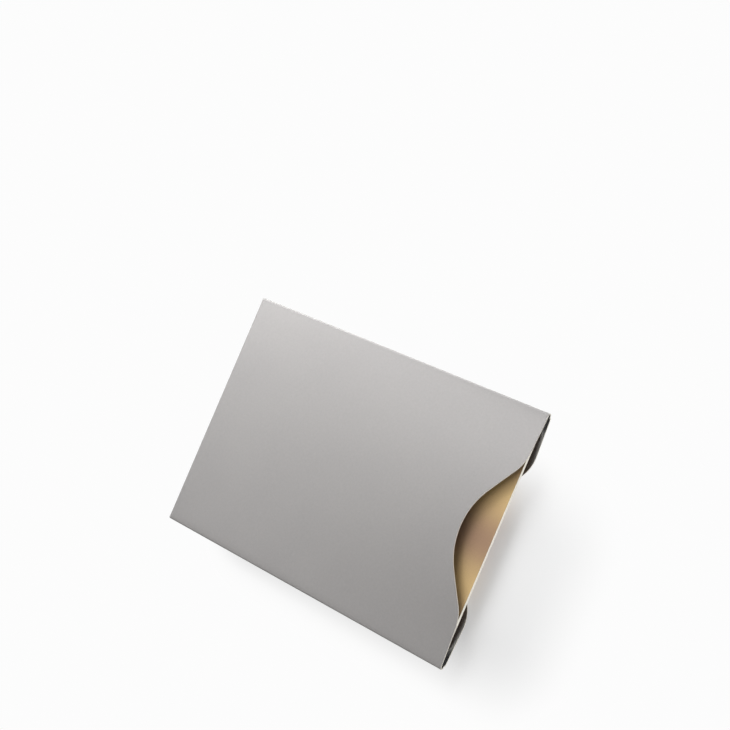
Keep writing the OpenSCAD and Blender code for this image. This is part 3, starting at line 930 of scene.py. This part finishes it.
def card_sheet(name, bottom, top, inked):
    """A printed sheet between two heights. inked is 1 where the ink is on top, -1 below."""
    outline = card_outline()
    ahead = np.roll(outline, -1, 0) - np.roll(outline, 1, 0)
    normal = np.stack([ahead[:, 1], -ahead[:, 0]], -1) / np.linalg.norm(ahead, axis=1, keepdims=True)
    spine_half = (CARD_L - CARD_W) / 2
    spine_x = np.clip(outline[:, 0], -spine_half, spine_half)
    spine = np.stack([spine_x, np.zeros(len(outline))], -1)
    rim = outline - RIM_R * normal
    inner = [spine + (rim - spine) * share for share in FACE_SHARES]
    bend = [rim + RIM_R * math.sin(a) * normal for a in RIM_ANGLES]
    flat = inner + bend + [outline] + inner[::-1]
    inset = [0] * len(inner) + [RIM_R * (1 - math.cos(a)) for a in RIM_ANGLES]
    high = [top - i for i in inset] + [bottom] + [bottom] * len(inner)
    if inked < 0:
        high = [bottom + top - h for h in high]
    rings = np.stack([np.concatenate([f, np.full((len(f), 1), h)], 1) for f, h in zip(flat, high)])
    rings[..., 0] += END_ROOM + CARD_L / 2
    rings = rings if inked > 0 else rings[:, ::-1]
    count = len(outline)
    index = np.arange(rings.shape[0] * count).reshape(-1, count)
    here, there = index, np.roll(index, -1, 1)
    quads = np.stack([here[:-1], here[1:], there[1:], there[:-1]], -1)
    plain_bands = len(flat) - 1 - len(inner)
    kinds = np.repeat([FACE_INKED] * len(inner) + [FACE_PLAIN] * plain_bands, count)
    return make_piece(name, rings.reshape(-1, 3), quads.reshape(-1, 4), kinds, [GOLD, VINYL])


card_front = card_sheet("card_front_print", CARD_T / 2 - PRINT_T, CARD_T / 2, 1)
card_back = card_sheet("card_back_print", -CARD_T / 2, PRINT_T - CARD_T / 2, -1)
print("card sheets:", len(card_front.data.polygons), "faces each")

# %% [markdown]
# Every piece now moves with its body, and the node of the construction that it stands for is
# hidden. The core sheets, antenna, chip and glue keep the construction's own shape, because
# hardly anything of them shows, and only get their finishes.

# %% What each piece stands for
paper_pieces = {"front_panel": front_panel, "back_panel": back_panel, "end_fold": end_crease}
foil_pieces = {"front_foil": front_foil, "back_foil": back_foil, "end_fold_foil": end_lining}
card_pieces = {"card_front_sheet": card_front, "card_back_sheet": card_back}
for node, piece in side_pieces.items():
    (foil_pieces if node.endswith("foil") else paper_pieces)[node] = piece

for pieces, body, slot in (
    (paper_pieces, "sleeve", "coated_paper"),
    (foil_pieces, "sleeve", "shield_foil"),
    (card_pieces, "card", "card_print"),
):
    for node, piece in pieces.items():
        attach(piece, body)
        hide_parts(node)

kept_nodes = {
    "card_core_sheet": VINYL,
    "card_antenna_sheet": VINYL,
    "antenna_coil": COPPER,
    "chip_module": RESIN,
    "top_glue_line": GLUE,
    "bottom_glue_line": GLUE,
}
for node, material in kept_nodes.items():
    frame["nodes"][node].data.materials.clear()
    frame["nodes"][node].data.materials.append(material)
made = len(paper_pieces) + len(foil_pieces) + len(card_pieces)
print(made, "pieces made,", len(kept_nodes), "nodes kept")

# %% [markdown]
# **The floor** is a pale studio surface. To the camera and in reflections it glows a little, so
# that it reads as white paper without more light falling on the sleeve, and the rest of its
# brightness is real reflected light, which keeps the sleeve's shadow. The lamps stand close, so
# the floor is lit unevenly further out. There, where no shadow falls, seen rays find plain white.

# %% Floor
FLOOR_SIDE = 6.0
FLOOR_WHITE = 0.975
FLOOR_GLOW = 0.31
FLOOR_REFLECTION = 0.92
# A rectangle under the sleeve and the reaches beyond it, in metres.
SHADE_CENTRE = (0.018, -0.008, 0.0)
SHADE_HALF = (0.034, 0.01, 1.0)
SHADE_START, SHADE_END = 0.0, 0.02


def seen_rays(tree):
    """1 for rays from the camera, from a mirror-like surface or through a clear one, else 0."""
    path = add(tree, "ShaderNodeLightPath")
    mirror = add(tree, "ShaderNodeMath", {
        0: path.outputs["Is Camera Ray"], 1: path.outputs["Is Glossy Ray"],
    }, operation="MAXIMUM")
    seen = add(tree, "ShaderNodeMath", {
        0: mirror.outputs[0], 1: path.outputs["Is Transmission Ray"],
    }, operation="MAXIMUM")
    return seen.outputs[0]


def beyond_shade(tree):
    """0 where the sleeve's shadow can fall and 1 further out: the distance from a rectangle under
    the sleeve, set off to the shaded side, eased between two reaches."""
    where = add(tree, "ShaderNodeTexCoord").outputs["Object"]
    moved = add(tree, "ShaderNodeVectorMath", {0: where, 1: SHADE_CENTRE}, operation="SUBTRACT")
    folded = add(tree, "ShaderNodeVectorMath", {0: moved.outputs[0]}, operation="ABSOLUTE")
    past = add(tree, "ShaderNodeVectorMath", {0: folded.outputs[0], 1: SHADE_HALF}, operation="SUBTRACT")
    out = add(tree, "ShaderNodeVectorMath", {0: past.outputs[0], 1: (0.0, 0.0, 0.0)}, operation="MAXIMUM")
    reach = add(tree, "ShaderNodeVectorMath", {0: out.outputs[0]}, operation="LENGTH")
    beyond = add(tree, "ShaderNodeMapRange", {
        "Value": reach.outputs["Value"], "From Min": SHADE_START, "From Max": SHADE_END,
    }, interpolation_type="SMOOTHSTEP")
    return beyond.outputs["Result"]


def studio_floor():
    """Matt white paper: a diffuse part and a glow that only seen rays find, plain white far out."""
    material = bpy.data.materials.new("matt_white_studio_paper")
    material.use_nodes = True
    tree = material.node_tree
    tree.nodes.clear()
    grey = (FLOOR_REFLECTION, FLOOR_REFLECTION, FLOOR_REFLECTION, 1.0)
    matt = add(tree, "ShaderNodeBsdfDiffuse", {"Color": grey})
    seen = seen_rays(tree)
    share = add(tree, "ShaderNodeMath", {0: seen, 1: FLOOR_GLOW}, operation="MULTIPLY")
    glow = add(tree, "ShaderNodeEmission", {"Strength": share.outputs[0]})
    both = add(tree, "ShaderNodeAddShader", {0: matt.outputs[0], 1: glow.outputs[0]})
    plain = add(tree, "ShaderNodeEmission", {"Strength": FLOOR_WHITE})
    far = add(tree, "ShaderNodeMath", {0: beyond_shade(tree), 1: seen}, operation="MULTIPLY")
    mixed = add(tree, "ShaderNodeMixShader", {
        0: far.outputs[0], 1: both.outputs[0], 2: plain.outputs[0],
    })
    add(tree, "ShaderNodeOutputMaterial", {"Surface": mixed.outputs[0]})
    return material


half = FLOOR_SIDE / 2
floor_corners = [(-half, -half, 0), (half, -half, 0), (half, half, 0), (-half, half, 0)]
floor_mesh = bpy.data.meshes.new("studio_floor")
floor_mesh.from_pydata(floor_corners, [], [(0, 1, 2, 3)])
floor_mesh.materials.append(studio_floor())
floor = bpy.data.objects.new("studio_floor", floor_mesh)
bpy.context.scene.collection.objects.link(floor)
floor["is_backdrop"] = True
print("floor", FLOOR_SIDE, "m wide")

# %% [markdown]
# **Light.** Three close soft lamps stand past the closed end and the upper fold, so that the
# brightness falls away towards the lower edge of the picture. A low lamp in front of the mouth
# picks out the pale cut edges, and a weak sky fills the shade. Each lamp is given by its
# direction from the sleeve's middle and by the light that it throws on the table. The camera
# sees none of them, and finds the sky plain white.

# %% World and lamps
SKY = 0.16
# Name, direction, distance and side in metres, share of full brightness, colour.
LAMPS = [
    ("key_softbox", (-0.5, 0.6, 0.62), 0.16, 0.1, 0.136, (0.98, 0.99, 1.0)),
    ("upper_softbox", (-0.3, 0.8, 0.5), 0.2, 0.1, 0.37, (0.98, 0.99, 1.0)),
    ("low_softbox", (-0.75, 0.45, 0.45), 0.2, 0.1, 0.116, (0.98, 0.99, 1.0)),
    ("edge_softbox", (0.97, -0.15, 0.13), 0.7, 0.14, 0.075, (1.0, 0.99, 0.97)),
]

world = bpy.data.worlds.new("studio_world")
bpy.context.scene.world = world
world.use_nodes = True
tree = world.node_tree
tree.nodes.clear()
strength = add(tree, "ShaderNodeMapRange", {"Value": seen_rays(tree), "To Min": SKY, "To Max": 1.0})
sky = add(tree, "ShaderNodeBackground", {"Strength": strength.outputs["Result"]})
add(tree, "ShaderNodeOutputWorld", {"Surface": sky.outputs[0]})


def softbox(name, towards, distance, size, share, colour):
    """A square lamp that faces the middle of the sleeve. Its power gives that share of a white
    table's full brightness: pi squared times the distance squared over the cosine."""
    direction = Vector(towards).normalized()
    lamp = bpy.data.lights.new(name, "AREA")
    lamp.shape = "SQUARE"
    lamp.size = size
    lamp.color = colour
    lamp.energy = share * math.pi**2 * distance**2 / direction.z
    lamp_object = bpy.data.objects.new(name, lamp)
    bpy.context.scene.collection.objects.link(lamp_object)
    lamp_object.location = direction * distance
    lamp_object.visible_camera = False
    lamp_object.rotation_euler = direction.to_track_quat("Z", "Y").to_euler()
    return lamp_object


for lamp in LAMPS:
    softbox(*lamp)
print(len(LAMPS), "lamps")

# %% Finish
bpy.context.scene.view_settings.view_transform = "Standard"
boxes = {"cad": [list(c) for c in cad_bounds], "visual": [list(c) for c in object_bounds()]}
for kind, (low, high) in boxes.items():
    print(kind, "box in mm:", [round(v / MM, 3) for v in low], [round(v / MM, 3) for v in high])
